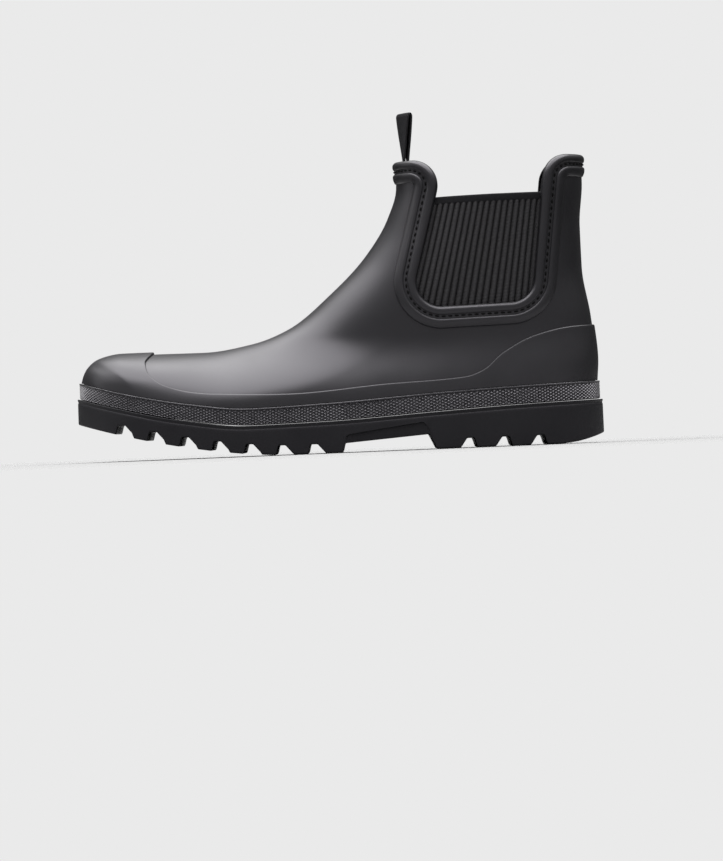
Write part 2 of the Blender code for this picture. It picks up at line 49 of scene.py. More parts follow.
UPPER_WALL = 2.2
RAND_THICKNESS = 1.0
BAND_THICKNESS = 2.2
SOLE_LEDGE = 1.4
INSOLE_CLEARANCE = 1.4
COLLAR_HEIGHT = 163.0
RIM_SPARE = 4.0
GUSSET_THICKNESS = 1.8
GUSSET_TOP = 142.0
GUSSET_BOTTOM = 71.0
GUSSET_SEWN_MARGIN = 8.0
TOE_X = -146.0
HEEL_X = 146.0
CUT_HALF_DEPTH = 90.0
CUT_FRONT_X = -30.0
CUT_BACK_X = 210.0
CUT_ABOVE = 40.0
SIDE_SIGN = {"outer": -1.0, "inner": 1.0}

# The form's side view, its widths and the heights along its sole, as in the part itself
FRONT_ROUND_LENGTH = 56.0
BACK_ROUND_LENGTH = 46.0
FRONT_HEIGHT_WEIGHT = 1.8
TOE_CORNER_Z = 55.0
TOE_BLEND_POWER = 3.0
ROUND_POWER = 2.05
FRONT_LINE = {
    "x": (-146, -146, -144.2, -136.5, -123, -105, -76, -48, -28, -3, 18, 31.5, 37, 37.2, 37.2),
    "z": (10, 44, 50.5, 57.6, 60.2, 60.2, 60, 63.8, 71, 90, 111, 132, 149, 158, 170),
}
BACK_LINE = {
    "x": (146, 146, 147, 145, 141, 140.8, 143, 143, 143),
    "z": (8, 32, 48, 72, 100, 124, 149, 158, 170),
}
FOOT_WIDTHS = {
    "x": (146, 105, 60, 20, -20, -65, -110, -146),
    "outer": (36, 36.5, 39.5, 42.5, 45.5, 48.5, 47, 44),
    "inner": (36, 36.5, 37, 37.5, 42, 48, 46, 43),
}
SHAFT_WIDTHS = {"z": (30, 62, 78, 105, 135, 165), "half": (34, 32.2, 33.2, 35.6, 37.4, 38.5)}
FOOT_TO_SHAFT = (28.0, 66.0)
FLARE_X = (-115.0, -45.0)
FOREFOOT_SWING = {"x": (146, 20, -40, -100, -146), "shift": (0, 0, 2, 6.5, 11.5)}
SOLE_TOP = {
    "x": (-150, -125, -91, -52, -6, 57, 100, 150),
    "z": (36.3, 29.6, 22, 17.2, 17.9, 21, 23, 24.5),
}
BAND_TOP = {
    "x": (-150, -118, -84, -52, -6, 57, 100, 150),
    "z": (45.8, 37.2, 30.6, 26.9, 28.2, 31.8, 33.6, 35),
}
RAND_LINE = {
    "x": (146, 132, 112, 93, 82, 72, 26, -28, -72, -97, -107.5, -109, -105),
    "z": (67, 66.2, 62, 52.5, 43.5, 40, 37.6, 34.2, 35.8, 40.8, 49, 54.6, 60.2),
}
RAND_TURN_X = -84.0
RAND_END_REACH = 7.0
OPENING_EDGE = {
    "x": (37.2, 63, 40.5, 112, 122.5, 143),
    "z": (163, 163, 79, 80.5, 163, 163),
    "radius": (0, 14, 15, 15, 14, 0),
}
TOE_SPRING_START = -30.0
TOE_SPRING_RISE = 20.5
TOE_SPRING_POWER = 1.65
HEEL_BEVEL_START = 122.0
HEEL_BEVEL_RISE = 4.0
LUG_DEPTH = 5.3
NOTCH_TOP_WIDTH = 4.2
NOTCHES = {
    "first_x": (-126.0, 71.0),
    "pitch": (18.1, 19.8),
    "count": (7, 3),
    "front_run": (1.2, 3.7),
    "back_run": (4.6, 1.5),
}
WAIST = {"x": (1.0, 2.5, 50.0, 54.5), "z": (-1.0, 5.2, 8.4, -1.0)}
LOOP_WIDTH = 18.0
LOOP_THICKNESS = 1.4
LOOP_TWIST = 0.40
LOOP_PATH = {
    "x": (42.2, 42.2, 42.2, 42.1, 42.3, 43.3, 44.3, 44.5, 44.3, 44.2, 44.2),
    "z": (140, 154, 163, 180, 189.6, 191.2, 189.6, 180, 163, 154, 140),
}

# Mesh density, and small numbers that keep sums from zero
LINE_SAMPLES = 500
DENSE_FACTOR = 4
RING_COLUMNS = 150
OUTLINE_COLUMNS = 600
UPPER_ROWS = {"band": 4, "rand": 24, "vamp": 64}
PLACES_AT_ONCE = 1500
SHARP_DEGREES = 38.0
NEAR = 1e-6
TINY = 1e-9


def steady_slopes(knots, values):
    """Slopes at the knots that keep a cubic through the table from overshooting."""
    steps = np.diff(knots)
    rises = np.diff(values) / steps
    slopes = np.zeros(len(values))
    slopes[0], slopes[-1] = rises[0], rises[-1]
    for i in range(1, len(values) - 1):
        if rises[i - 1] * rises[i] > 0:
            before, after = 2 * steps[i] + steps[i - 1], steps[i] + 2 * steps[i - 1]
            slopes[i] = (before + after) / (before / rises[i - 1] + after / rises[i])
    return slopes


def smooth_table(knots, values, at):
    """Reads a table at any place along a smooth curve through its rows."""
    knots, values = np.asarray(knots, float), np.asarray(values, float)
    if knots[0] > knots[-1]:
        knots, values = knots[::-1], values[::-1]
    slopes = steady_slopes(knots, values)
    at = np.clip(at, knots[0], knots[-1])
    i = np.clip(np.searchsorted(knots, at) - 1, 0, len(knots) - 2)
    step = knots[i + 1] - knots[i]
    u = (at - knots[i]) / step
    start = values[i] * (1 + 2 * u) * (1 - u) ** 2 + slopes[i] * step * u * (1 - u) ** 2
    end = values[i + 1] * u * u * (3 - 2 * u) + slopes[i + 1] * step * u * u * (u - 1)
    return start + end


def line_lengths(points):
    """Length along a line at each of its points."""
    return np.concatenate([[0], np.cumsum(np.linalg.norm(np.diff(points, axis=0), axis=1))])


def smooth_line(table, samples=LINE_SAMPLES):
    """Points along a smooth curve through a table of x and z, evenly spaced along its length."""
    corners = np.column_stack([table["x"], table["z"]]).astype(float)
    along = line_lengths(corners)
    at = np.linspace(0, along[-1], samples)
    return np.column_stack([smooth_table(along, corners[:, k], at) for k in (0, 1)])


FRONT = smooth_line(FRONT_LINE)
BACK = smooth_line(BACK_LINE)


def height_at(table, x):
    return smooth_table(table["x"], table["z"], x)


def ease(share):
    """Smooth step from 0 to 1."""
    share = np.clip(share, 0, 1)
    return share * share * (3 - 2 * share)


def distance_to(line, x, z, height_weight):
    """Distance in the side view from places (x, z) to a line, with heights counted by a weight."""
    scale = np.array([1.0, height_weight])
    a, b = line[:-1] * scale, line[1:] * scale
    run = b - a
    places = np.stack([np.ravel(x), np.ravel(z)], axis=1) * scale
    nearest = []
    for part in np.array_split(places, max(1, len(places) // PLACES_AT_ONCE)):
        p = part[:, None, :]
        u = np.clip(np.sum((p - a) * run, axis=2) / np.sum(run * run, axis=1), 0, 1)
        nearest.append(np.min(np.linalg.norm(p - (a + u[..., None] * run), axis=2), axis=1))
    return np.concatenate(nearest).reshape(np.shape(x))


def front_distance(x, z):
    """Distance to the front line, with the crease where the toe's front meets its top softened."""
    corner = np.argmax(FRONT[:, 1] > TOE_CORNER_Z)
    toe = distance_to(FRONT[: corner + 1], x, z, FRONT_HEIGHT_WEIGHT)
    top = distance_to(FRONT[corner:], x, z, FRONT_HEIGHT_WEIGHT)
    near, far = np.maximum(np.minimum(toe, top), TINY), np.maximum(toe, top)
    return near * (1 + (near / far) ** TOE_BLEND_POWER) ** (-1 / TOE_BLEND_POWER)


def round_over(share):
    """Width share from 0 at a silhouette to 1 where the form is at its full width."""
    inward = 1 - np.clip(share, 0, 1)
    return (1 - inward**ROUND_POWER) ** (1 / ROUND_POWER)


def half_width(x, z, side):
    """Half width of the boot's outer form at a place of the side view; side is outer or inner."""
    foot = smooth_table(FOOT_WIDTHS["x"], FOOT_WIDTHS[side], x)
    shaft = smooth_table(SHAFT_WIDTHS["z"], SHAFT_WIDTHS["half"], z)
    low, high = FOOT_TO_SHAFT
    toe_end, waist_end = FLARE_X
    rise = ease((z - low) / (high - low)) * ease((x - toe_end) / (waist_end - toe_end))
    full = foot + (shaft - foot) * rise
    front = round_over(front_distance(x, z) / FRONT_ROUND_LENGTH)
    back = round_over(distance_to(BACK, x, z, 1.0) / BACK_ROUND_LENGTH)
    return full * front * back


def middle(x):
    """Sideways shift of the boot's middle line."""
    return smooth_table(FOREFOOT_SWING["x"], FOREFOOT_SWING["shift"], x)


def side_point(x, z, side):
    """Places on the outer form, as an array of x, y, z."""
    return np.stack([x, middle(x) + SIDE_SIGN[side] * half_width(x, z, side), z], axis=-1)


def read_rows(at, along, rows):
    """Rows of numbers at places between those they are given for."""
    return np.column_stack([np.interp(at, along, rows[:, k]) for k in range(rows.shape[1])])


def resample(points, shares):
    """Points at shares of a line's length."""
    along = line_lengths(points)
    return read_rows(np.asarray(shares) * along[-1], along, points)


def dense(line):
    """A line with more points, evenly spaced."""
    return resample(line, np.linspace(0, 1, DENSE_FACTOR * len(line)))


def x_on(line, z):
    """Where along X a rising line passes a height."""
    rising = np.maximum.accumulate(line[:, 1] + np.arange(len(line)) * NEAR)
    return np.interp(z, rising, line[:, 0])


def between(line, z_from, z_to):
    """The stretch of a rising line between two heights."""
    points = dense(line)
    inside = points[(points[:, 1] > z_from) & (points[:, 1] < z_to)]
    return np.vstack([[x_on(line, z_from), z_from], inside, [x_on(line, z_to), z_to]])


def front_until(x_end):
    """The stretch of the front line from the toe's foot to a place on top of the toe."""
    points = dense(FRONT)
    start = float(height_at(BAND_TOP, TOE_X)) + SEAT_GAP
    last = np.argmax((points[:, 0] > x_end) & (points[:, 1] > start))
    chosen = points[: last + 1]
    return np.vstack([[TOE_X, start], chosen[chosen[:, 1] > start]])


def even_ends(count):
    """Shares from 0 to 1, close together at both ends where the form rounds over."""
    return (1 - np.cos(np.pi * np.arange(count + 1) / count)) / 2


def sample(line, shares):
    """Points at shares of the way through a line's list of points."""
    return read_rows(np.asarray(shares) * (len(line) - 1), np.arange(len(line)), line)


def side_grid(bottom, top, back, front, row_shares, end_reach=1.0):
    """Side-view grid that fills four border lines; bottom and top run from back to front.

    The bends of the back and front lines fade out along the rows, faster with a higher end_reach.
    """
    s, t = even_ends(RING_COLUMNS)[None, :, None], np.asarray(row_shares)[:, None, None]
    low, high = sample(bottom, s.ravel())[None], sample(top, s.ravel())[None]
    left, right = resample(back, t.ravel())[:, None], resample(front, t.ravel())[:, None]
    left_bend = left - (1 - t) * low[:, :1] - t * high[:, :1]
    right_bend = right - (1 - t) * low[:, -1:] - t * high[:, -1:]
    return (1 - t) * low + t * high + (1 - s) ** end_reach * left_bend + s**end_reach * right_bend


def sole_line(table, lift=0.0):
    """A height table of the sole as a line from heel to toe."""
    x = np.linspace(HEEL_X, TOE_X, LINE_SAMPLES)
    return np.column_stack([x, height_at(table, x) + lift])


def ring_surface(grid):
    """Closed rings round the boot: along the outer side to the front, back along the inner side."""
    outer = side_point(grid[..., 0], grid[..., 1], "outer")
    inner = side_point(grid[..., 0], grid[..., 1], "inner")
    return np.concatenate([outer, inner[:, -2:0:-1]], axis=1)


def unit(vectors):
    return vectors / np.maximum(np.linalg.norm(vectors, axis=-1, keepdims=True), TINY)


def ring_normals(surface):
    """Outward directions at each point of closed rings."""
    around = np.roll(surface, -1, axis=1) - np.roll(surface, 1, axis=1)
    return unit(np.cross(np.gradient(surface, axis=0), around))


def sheet_normals(surface, side):
    """Outward directions at each point of an open sheet on one side of the boot."""
    normals = unit(np.cross(np.gradient(surface, axis=1), np.gradient(surface, axis=0)))
    return normals * np.sign(normals[..., 1:2] * SIDE_SIGN[side] + TINY)


def rand_edge_line():
    """The rand's upper edge, with its points spread so that they stand above those of the sole."""
    line = smooth_line(RAND_LINE)
    along = np.linspace(0, 1, LINE_SAMPLES)
    turn = along[np.argmax(line[:, 0] < RAND_TURN_X)]
    turn_share = (HEEL_X - RAND_TURN_X) / (HEEL_X - TOE_X)
    return resample(line, np.interp(along, (0, turn_share, 1), (0, turn, 1)))


def form_patches(band_shares, rand_shares, vamp_shares):
    """Side-view grids of the upper's three stretches: behind the band, behind the rand, and above it."""
    foot, band_edge = sole_line(SOLE_TOP, SEAT_GAP), sole_line(BAND_TOP, SEAT_GAP)
    rand_edge = rand_edge_line()
    toe = front_until(rand_edge[-1, 0])
    rim = COLLAR_HEIGHT + RIM_SPARE
    heel_back = between(BACK, band_edge[0, 1], rand_edge[0, 1])
    rand_edge[0], rand_edge[-1] = heel_back[-1], toe[-1]
    collar = np.linspace((BACK[-1, 0], rim), (FRONT[-1, 0], rim), LINE_SAMPLES)
    low_back = between(BACK, foot[0, 1], band_edge[0, 1])
    low_front = between(FRONT, foot[-1, 1], band_edge[-1, 1])
    vamp = np.vstack([toe[-1], FRONT[(FRONT[:, 0] > toe[-1, 0]) & (FRONT[:, 1] < rim)], collar[-1]])
    return (
        side_grid(foot, band_edge, low_back, low_front, band_shares),
        side_grid(band_edge, rand_edge, heel_back, toe, rand_shares, RAND_END_REACH),
        side_grid(rand_edge, collar, between(BACK, rand_edge[0, 1], rim), vamp, vamp_shares),
    )


def sole_outline(offset):
    """Closed outline of the sole, moved out by an offset from the foot of the upper."""
    x = HEEL_X + (TOE_X - HEEL_X) * even_ends(OUTLINE_COLUMNS)
    grid = np.column_stack([x, height_at(SOLE_TOP, x)])[None]
    ring = ring_surface(np.repeat(grid, 2, axis=0))[0]
    ahead = np.roll(ring, -1, axis=0) - np.roll(ring, 1, axis=0)
    outward = unit(np.column_stack([ahead[:, 1], -ahead[:, 0], np.zeros(len(ring))]))
    return ring + outward * np.sign(outward[0, 0]) * offset


SOLE_OUTLINE = sole_outline(SEAT_GAP + BAND_THICKNESS + SOLE_LEDGE)
# The tables are about the foot's own axis; the frame's origin is under the middle of the sole.
SOLE_MIDDLE = (SOLE_OUTLINE.min(axis=0) + SOLE_OUTLINE.max(axis=0)) / 2
packed_low, packed_high = (np.array(corner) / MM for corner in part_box("outsole"))
SHIFT = (packed_low + packed_high) / 2 - SOLE_MIDDLE
SHIFT[2] = packed_low[2]


def tube_faces(stations, section, closed):
    """Quads between closed rings of points, with a cap at each end of an open row of rings."""
    s = np.arange(stations if closed else stations - 1)[:, None]
    k = np.arange(section)[None, :]
    here, there = s * section, (s + 1) % stations * section
    after = (k + 1) % section
    faces = np.stack([here + k, here + after, there + after, there + k], axis=-1).reshape(-1, 4).tolist()
    if not closed:
        faces.append(list(range(section)))
        faces.append([(stations - 1) * section + i for i in range(section)])
    return faces


def slab_faces(rows, columns):
    """Quads between closed rings laid one on the other, with strips across the first and the last ring."""
    faces = tube_faces(rows, columns, False)[:-2]
    for start in (0, (rows - 1) * columns):
        for i in range(columns // 2):
            strip = dict.fromkeys((i, i + 1, columns - i - 1, (columns - i) % columns))
            faces.append([start + k for k in strip])
    return faces


def make_mesh(name, points, faces):
    """A closed mesh in the frame's own place, with its faces turned outwards."""
    mesh = bpy.data.meshes.new(name)
    mesh.from_pydata(((np.asarray(points) + SHIFT) * MM).tolist(), [], faces)
    work = bmesh.new()
    work.from_mesh(mesh)
    bmesh.ops.recalc_face_normals(work, faces=work.faces)
    work.to_mesh(mesh)
    work.free()
    return mesh


def add_object(name, data):
    """A new object in the scene."""
    made = bpy.data.objects.new(name, data)
    bpy.context.scene.collection.objects.link(made)
    return made


def make_piece(name, points, faces, materials, node=None, face_materials=None, weave=None):
    """A piece of the boot, riding with its frame."""
    mesh = make_mesh(name, points, faces)
    for material in materials:
        mesh.materials.append(material)
    if face_materials is not None:
        mesh.polygons.foreach_set("material_index", np.asarray(face_materials, np.int32))
    if weave is not None:
        places = mesh.attributes.new("weave", "FLOAT_VECTOR", "POINT")
        places.data.foreach_set("vector", np.asarray(weave, np.float32).ravel())
    mesh.shade_smooth()
    mesh.set_sharp_from_angle(angle=math.radians(SHARP_DEGREES))
    piece = add_object(name, mesh)
    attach(piece, "root")
    if node:
        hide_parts(node)
    return piece


def ring_piece(name, loop, materials, node, face_materials=None):
    """A closed band: loop holds, for each row round its section, the points round the boot."""
    rows, columns = loop.shape[:2]
    points = np.swapaxes(loop, 0, 1).reshape(-1, 3)
    if face_materials is not None:
        face_materials = np.tile(face_materials, columns)
    return make_piece(name, points, tube_faces(columns, rows, True), materials, node, face_materials)


def rounded_edge(arc_steps=24):
    """The opening's edge in the side view, with its corners rounded."""
    corners = np.column_stack([OPENING_EDGE["x"], OPENING_EDGE["z"]]).astype(float)
    points = [corners[0]]
    for i in range(1, len(corners) - 1):
        before, corner, after = corners[i - 1 : i + 2]
        back, on = unit(before - corner), unit(after - corner)
        half_angle = np.arccos(np.clip(back @ on, -1, 1)) / 2
        radius = OPENING_EDGE["radius"][i]
        centre = corner + unit(back + on) * radius / np.sin(half_angle)
        reach = radius / np.tan(half_angle)
        start, end = corner + back * reach - centre, corner + on * reach - centre
        turn = np.arctan2(start[0] * end[1] - start[1] * end[0], start @ end)
        for angle in np.linspace(0, turn, arc_steps):
            c, s = np.cos(angle), np.sin(angle)
            points.append(centre + np.array([c * start[0] - s * start[1], s * start[0] + c * start[1]]))
    return np.array(points + [corners[-1]])


def cut_opening(upper):
    """Cuts the collar and the gussets' places out of the upper, as one shape carried across the boot."""
    above = COLLAR_HEIGHT + CUT_ABOVE
    past_back = [[CUT_BACK_X, COLLAR_HEIGHT], [CUT_BACK_X, above]]
    past_front = [[CUT_FRONT_X, above], [CUT_FRONT_X, COLLAR_HEIGHT]]
    outline = np.vstack([rounded_edge(), past_back, past_front])
    points = [(x, y, z) for y in (-CUT_HALF_DEPTH, CUT_HALF_DEPTH) for x, z in outline]
    mesh = make_mesh("opening_cutter", points, tube_faces(2, len(outline), False))
    cutter = add_object("opening_cutter", mesh)
    cut = upper.modifiers.new("opening", "BOOLEAN")
    cut.operation = "DIFFERENCE"
    cut.object = cutter
    shown = upper.evaluated_get(bpy.context.evaluated_depsgraph_get())
    made = bpy.data.meshes.new_from_object(shown)
    upper.modifiers.clear()
    upper.data = made
    made.set_sharp_from_angle(angle=math.radians(SHARP_DEGREES))
    bpy.data.objects.remove(cutter)


def build_upper(rubber, lining):
    """Hollow rubber upper with a cloth lining, open at the collar and at both gussets."""
    shares = [np.linspace(0, 1, count + 1) for count in UPPER_ROWS.values()]
    patches = form_patches(*shares)
    grid = np.vstack([patches[0], patches[1][1:], patches[2][1:]])
    surface = ring_surface(grid)
    inside = surface - ring_normals(surface) * UPPER_WALL
    inside[0, :, 2] = surface[0, :, 2]
    rows = len(surface)
    lined = np.concatenate([np.zeros(rows), np.ones(rows)])
    loop = np.concatenate([surface, inside[::-1]])
    upper = ring_piece("boot_upper", loop, [rubber, lining], "upper", lined)
    cut_opening(upper)


RAND_EDGE_ROUND = 0.8
RAND_EDGE_STEPS = 7
RAND_ROWS = 26
RAND_INSIDE_GAP = 0.12


def rand_grid():
    """Side-view rows of the rand, the last ones close together where its upper edge rounds over."""
    patch = form_patches([0, 1], np.linspace(0, 1, RAND_ROWS + 1), [0, 1])[1]
    from_edge = RAND_EDGE_ROUND * (1 - np.sin(np.linspace(0, np.pi / 2, RAND_EDGE_STEPS)))
    columns = []
    for c in range(patch.shape[1]):
        line = patch[:, c]
        length = line_lengths(line)[-1]
        plain = np.linspace(0, length - RAND_EDGE_ROUND, RAND_ROWS)
        at = np.concatenate([plain, (length - from_edge)[1:]])
        columns.append(resample(line, at / length))
    below = np.full(RAND_ROWS - 1, RAND_EDGE_ROUND)
    return np.stack(columns, axis=1), np.concatenate([below, from_edge])


def build_rand(rubber):
    """Toe cap, side rand and heel counter: one raised layer with a rounded upper edge."""
    grid, from_edge = rand_grid()
    surface = ring_surface(grid)
    normals = ring_normals(surface)
    normals[0, :, 2] = 0.0
    normals = unit(normals)
    corner = np.sqrt(np.clip(1 - (1 - from_edge / RAND_EDGE_ROUND) ** 2, 0, 1))
    height = SEAT_GAP + RAND_THICKNESS - RAND_EDGE_ROUND * (1 - corner)
    outside = surface + normals * height[:, None, None]
    outside[0, :, 2] += height_at(BAND_TOP, outside[0, :, 0]) - height_at(BAND_TOP, surface[0, :, 0])
    inside = surface[[-1, 0]] + normals[[-1, 0]] * RAND_INSIDE_GAP
    loop = np.concatenate([outside, inside])
    ring_piece("toe_cap_and_rand", loop, [rubber], "toe_cap_rand")


KNURL_PITCH = 3.25
KNURL_SAMPLES = 6
KNURL_HEIGHT = 0.75
KNURL_ROWS = 5
KNURL_SPAN = (0.06, 0.89)
KNURL_OUT = 1.85
# Rows of the foxing band under and over its knurl: share of the band's height and distance out
BAND_FOOT = {"share": (0.0, 0.012, 0.04), "out": (1.5, 1.9, 2.1)}
BAND_LIP = {"share": (0.905, 0.915, 0.94, 0.975, 0.994, 1.0), "out": (2.1, 2.42, 2.56, 2.54, 2.35, 2.0)}
BAND_DENSE_COLUMNS = 500


def band_rows():
    """Shares across the foxing band, and how far out and how knurled each row is."""
    rows = [(share, out, 0.0) for share, out in zip(*BAND_FOOT.values())]
    rows += [(share, KNURL_OUT, 1.0) for share in np.linspace(*KNURL_SPAN, KNURL_ROWS * KNURL_SAMPLES + 1)]
    rows += [(share, out, 0.0) for share, out in zip(*BAND_LIP.values())]
    rows += [(1.0, SEAT_GAP, 0.0), (0.0, SEAT_GAP, 0.0)]
    return np.array(rows)


def build_band(rubber):
    """Foxing band with a diamond knurl and a plain raised lip along its upper edge."""
    x = HEEL_X + (TOE_X - HEEL_X) * even_ends(BAND_DENSE_COLUMNS)
    low = np.column_stack([x, height_at(SOLE_TOP, x) + SEAT_GAP])
    high = np.column_stack([x, height_at(BAND_TOP, x)])
    share, out, knurled = band_rows().T
    grid = low[None] + (high - low)[None] * share[:, None, None]
    surface = ring_surface(grid)
    for end in (0, BAND_DENSE_COLUMNS):
        surface[:, end, 1] = (surface[:, end - 1, 1] + surface[:, end + 1, 1]) / 2
    around = np.roll(surface, -1, axis=1) - np.roll(surface, 1, axis=1)
    normals = unit(np.stack([-around[..., 1], around[..., 0], np.zeros(around.shape[:2])], axis=-1))
    normals *= np.sign(normals[0, 0, 0])
    outside = surface + normals * BAND_THICKNESS
    girths = [line_lengths(np.vstack([row, row[:1]])) for row in outside]
    count = int(round(girths[0][-1] / KNURL_PITCH))
    places = np.arange(count * KNURL_SAMPLES) / (count * KNURL_SAMPLES)

    def spread(values):
        """Values at even places round each row."""
        closed = np.concatenate([values, values[:, :1]], axis=1)
        return np.stack([read_rows(places * girth[-1], girth, row) for girth, row in zip(girths, closed)])

    surface, normals = spread(surface), spread(normals)
    turn = places[None] * count
    up = (share[:, None] - KNURL_SPAN[0]) / (KNURL_SPAN[1] - KNURL_SPAN[0]) * KNURL_ROWS
    ridge = [np.abs(2 * ((turn + sign * up) % 1.0) - 1) for sign in (1, -1)]
    diamonds = 1 - np.maximum(*ridge)
    offset = out[:, None] + KNURL_HEIGHT * knurled[:, None] * diamonds
    points = surface + unit(normals) * offset[..., None]
    points[..., 2] += height_at(SOLE_TOP, points[..., 0]) - height_at(SOLE_TOP, surface[..., 0])
    ring_piece("foxing_band_knurled", points, [rubber], "foxing_band")


TREAD_STEP = 0.3
BELOW_TREAD = -1.0
# Ends of the outsole where its stations draw together, and the reach that rounds its lugs' edges
SOLE_END = 3.0
SOLE_END_STEPS = 14
STATION_SPARE = 0.01
LUG_ROUND_STEP = 0.12
LUG_ROUND_STEPS = 4
# Profile of the outsole's side, from its upper edge down: drop from the edge and step inwards
LIP_PROFILE = {
    "drop": (0.0, 0.05, 0.15, 0.3, 0.5, 1.2, 1.9, 2.1, 2.3, 2.6, 3.8),
    "step_in": (0.45, 0.2, 0.06, 0.0, 0.0, 0.22, 0.45, 0.42, 0.26, 0.14, 0.1),
}
# Rounding of the outsole's lower edge: rise above the tread and step inwards
FOOT_PROFILE = {"rise": (0.9, 0.4, 0.12, 0.0), "step_in": (0.0, 0.1, 0.35, 0.8)}
# Recessed strip along the waist's lower edge: where it starts and ends, its height, its depth and its edge
STRIP_X = (0.0, 5.0, 46.0, 52.0)
STRIP_HEIGHT = (3.4, 5.8)
STRIP_DEPTH = 1.1
STRIP_EDGE = {"rise": (1.6, 1.4, 1.2, 1.0), "share": (0.0, 0.15, 0.8, 1.0)}


def tread_height(x):
    """Height of the plain tread along the sole, with its toe spring and the bevel of its heel."""
    toe = np.clip((TOE_SPRING_START - x) / (TOE_SPRING_START - TOE_X), 0, None)
    heel = np.clip((x - HEEL_BEVEL_START) / (HEEL_X - HEEL_BEVEL_START), 0, None)
    return TOE_SPRING_RISE * toe**TOE_SPRING_POWER + HEEL_BEVEL_RISE * heel**2


def notched_height(x):
    """Height of the cut tread: the highest of the tread, the waist and the notch at each place."""
    waist = np.interp(x, WAIST["x"], WAIST["z"], left=BELOW_TREAD, right=BELOW_TREAD)
    height = np.maximum(tread_height(x), waist)
    for first, pitch, count, front_run, back_run in zip(*NOTCHES.values()):
        for start in first + pitch * np.arange(count):
            base = float(tread_height(start))
            end = start + NOTCH_TOP_WIDTH
            across = (start - front_run, start, end, end + back_run)
            level = (base, base + LUG_DEPTH, base + LUG_DEPTH, base)
            notch = np.interp(x, across, level, left=BELOW_TREAD, right=BELOW_TREAD)
            height = np.maximum(height, notch)
    return height


def sole_stations():
    """Places along the outsole: close together at its ends, even along its lugs."""
    low, high = SOLE_OUTLINE[:, 0].min(), SOLE_OUTLINE[:, 0].max()
    even = np.arange(low + SOLE_END, high - SOLE_END, TREAD_STEP)
    turn = np.linspace(0, np.pi / 2, SOLE_END_STEPS)[:-1]
    ends = (SOLE_END - STATION_SPARE) * (1 - np.cos(turn))
    return np.concatenate([low + ends, even, (high - ends)[::-1]])[::-1]


def build_outsole(rubber):
    """Lugged outsole: stations along its length, with its side's profile at each."""
    x = sole_stations()
    closed = np.vstack([SOLE_OUTLINE, SOLE_OUTLINE[:1]])
    sides = []
    for side in (closed[: OUTLINE_COLUMNS + 1], closed[OUTLINE_COLUMNS:]):
        side = side[np.argsort(side[:, 0])]
        sides.append(np.column_stack([x, np.interp(x, side[:, 0], side[:, 1])]))
    ring = np.vstack([sides[0], sides[1][-2:0:-1]])
    ahead = np.roll(ring, -1, axis=0) - np.roll(ring, 1, axis=0)
    inward = unit(np.column_stack([-ahead[:, 1], ahead[:, 0]]))
    inward *= -np.sign(inward[0, 0])
    reach = np.arange(-LUG_ROUND_STEPS, LUG_ROUND_STEPS + 1) * LUG_ROUND_STEP
    soft = np.mean([notched_height(ring[:, 0] + r) for r in reach], axis=0)
    top = height_at(SOLE_TOP, ring[:, 0])
    rings = []
    for drop, step_in in zip(*LIP_PROFILE.values()):
        rings.append(np.column_stack([ring + inward * step_in, top - drop]))
    start, front_end, back_end, end = STRIP_X
    waist = ease((ring[:, 0] - start) / (front_end - start))
    waist *= ease((end - ring[:, 0]) / (end - back_end))
    strip = np.interp(ring[:, 0], (front_end, back_end), STRIP_HEIGHT) * waist
    recess = (STRIP_DEPTH * waist)[:, None]
    for rise, share in zip(*STRIP_EDGE.values()):
        rings.append(np.column_stack([ring + inward * recess * share, soft + rise + strip]))
    for rise, step_in in zip(*FOOT_PROFILE.values()):
        rings.append(np.column_stack([ring + inward * (recess + step_in), soft + rise]))
    faces = slab_faces(len(rings), len(ring))
    make_piece("lugged_outsole", np.vstack(rings), faces, [rubber], "outsole")


INSOLE_COLUMN_STEP = 4
# Rounding of the insole's edge: height above its underside and step inwards
INSOLE_EDGE = {"lift": (0.0, 3.0, 3.6, 3.9, 4.0), "step_in": (0.0, 0.0, 0.25, 0.8, 1.6)}


def build_insole(cloth):
    """Cloth-covered inner sole with a rounded edge."""
    rings = []
    for lift, step_in in zip(*INSOLE_EDGE.values()):
        ring = sole_outline(-(UPPER_WALL + INSOLE_CLEARANCE + step_in))[::INSOLE_COLUMN_STEP]
        ring[:, 2] = height_at(SOLE_TOP, ring[:, 0]) + SEAT_GAP + lift
        rings.append(ring)
    faces = slab_faces(len(rings), len(ring))
    make_piece("cloth_insole", np.vstack(rings), faces, [cloth], "insole")


RIB_COUNT = 23
RIB_SAMPLES = 10
RIB_DEPTH = 1.0
RIB_POWER = 0.6
GUSSET_ROWS = 48
GUSSET_CLEAR = 0.15
UNDER_BINDING = 1.0
# Tape over the gusset's upper edge; its direction out is read from the rows of heights below that edge
BINDING_WIDTH = 4.6
BINDING_SPARE = 0.9
BINDING_ABOVE = 0.4
BINDING_POWER = 0.5
BINDING_COLUMNS = 90
BINDING_SECTION = 28
BINDING_ROWS = np.array([-6.0, -3.0, 0.0])


def rounded_box(width, height, power, count):
    """Places across and up round a section that is nearly a rectangle, sharper with a lower power."""
    angles = np.linspace(0, 2 * np.pi, count, endpoint=False)
    across, up = np.cos(angles), np.sin(angles)
    across = width / 2 * np.sign(across) * np.abs(across) ** power
    return across, height / 2 * np.sign(up) * np.abs(up) ** power


